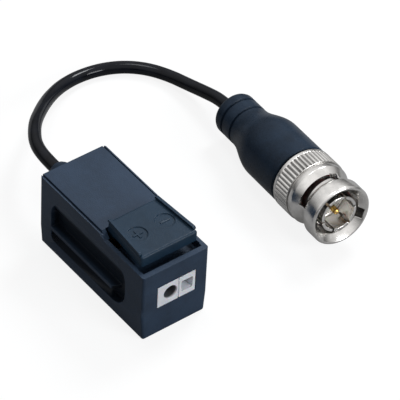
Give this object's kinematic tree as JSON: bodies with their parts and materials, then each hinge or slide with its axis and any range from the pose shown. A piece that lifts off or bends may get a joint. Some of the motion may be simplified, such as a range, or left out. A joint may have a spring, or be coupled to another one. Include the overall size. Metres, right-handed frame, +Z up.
{
  "type": "cctv video balun",
  "caption": "Small plastic box with a sprung press lever over two wire clamps, an interlock pocket and a short coax pigtail that ends in a moulded bayonet video plug.",
  "frame": {"origin": "centre of the housing's flat bottom face, which rests on the surface", "axes": "+Z up, the wire terminal faces -Y, the pigtail leaves the rear wall along +Y, and the plug lies on the +X side"},
  "size_m": [0.0579, 0.0739, 0.0209],
  "materials": {
    "abs_black": "satin",
    "steel": "satin",
    "white_nylon": "satin",
    "board_green": "satin",
    "ferrite": "matte",
    "enamelled_copper": "gloss",
    "chip_black": "matte",
    "tin_plate": "satin",
    "black_rubber": "satin",
    "cable_jacket": "gloss",
    "nickel": "polished",
    "red_silicone": "satin",
    "white_plastic": "satin",
    "gold_plate": "polished"
  },
  "bodies": {
    "box": {"housing_base": "abs_black", "housing_cover": "abs_black", "lever_pin": "steel", "terminal_block": "white_nylon", "circuit_board": "board_green", "transformer_core": "ferrite", "transformer_winding": "enamelled_copper", "surge_diode": "chip_black", "tuning_resistor": "chip_black", "clamp_spring_left": "steel", "clamp_spring_right": "steel", "contact_bar_left": "tin_plate", "contact_bar_right": "tin_plate", "cable_gland": "black_rubber", "cable_tail": "cable_jacket", "coax_cable": "cable_jacket", "plug_boot": "black_rubber", "boot_cable_tail": "cable_jacket", "crimp_ferrule": "nickel", "plug_body": "nickel", "retaining_ring": "steel", "wave_washer": "steel", "front_gasket": "red_silicone", "outer_contact": "nickel", "insulator": "white_plastic", "center_pin": "gold_plate"},
    "lever": {"press_lever": "abs_black"},
    "spring_plate": {"thrust_ring": "nickel"},
    "nut": {"coupling_nut": "nickel"}
  },
  "joints": [
    {"name": "lever_press", "type": "hinge", "parent": "box", "child": "lever", "pos_m": [0, -0.00075, 0.0156], "axis": [1, 0, 0], "range_deg": [0, 8], "stiffness_Nm_per_rad": 0.4, "springref_deg": -2.86, "deforming": ["clamp_spring_left", "clamp_spring_right"]},
    {"name": "nut_slide", "type": "slide", "parent": "box", "child": "spring_plate", "axis": [-0.1006, -0.9908, 0.0906], "range_m": [0, 0.0009], "stiffness_N_per_m": 9000, "springref_m": -0.0003, "deforming": ["wave_washer"]},
    {"name": "nut_turn", "type": "hinge", "parent": "spring_plate", "child": "nut", "pos_m": [0.04124, -0.01041, 0.00852], "axis": [-0.1006, -0.9908, 0.0906], "continuous": true}
  ]
}
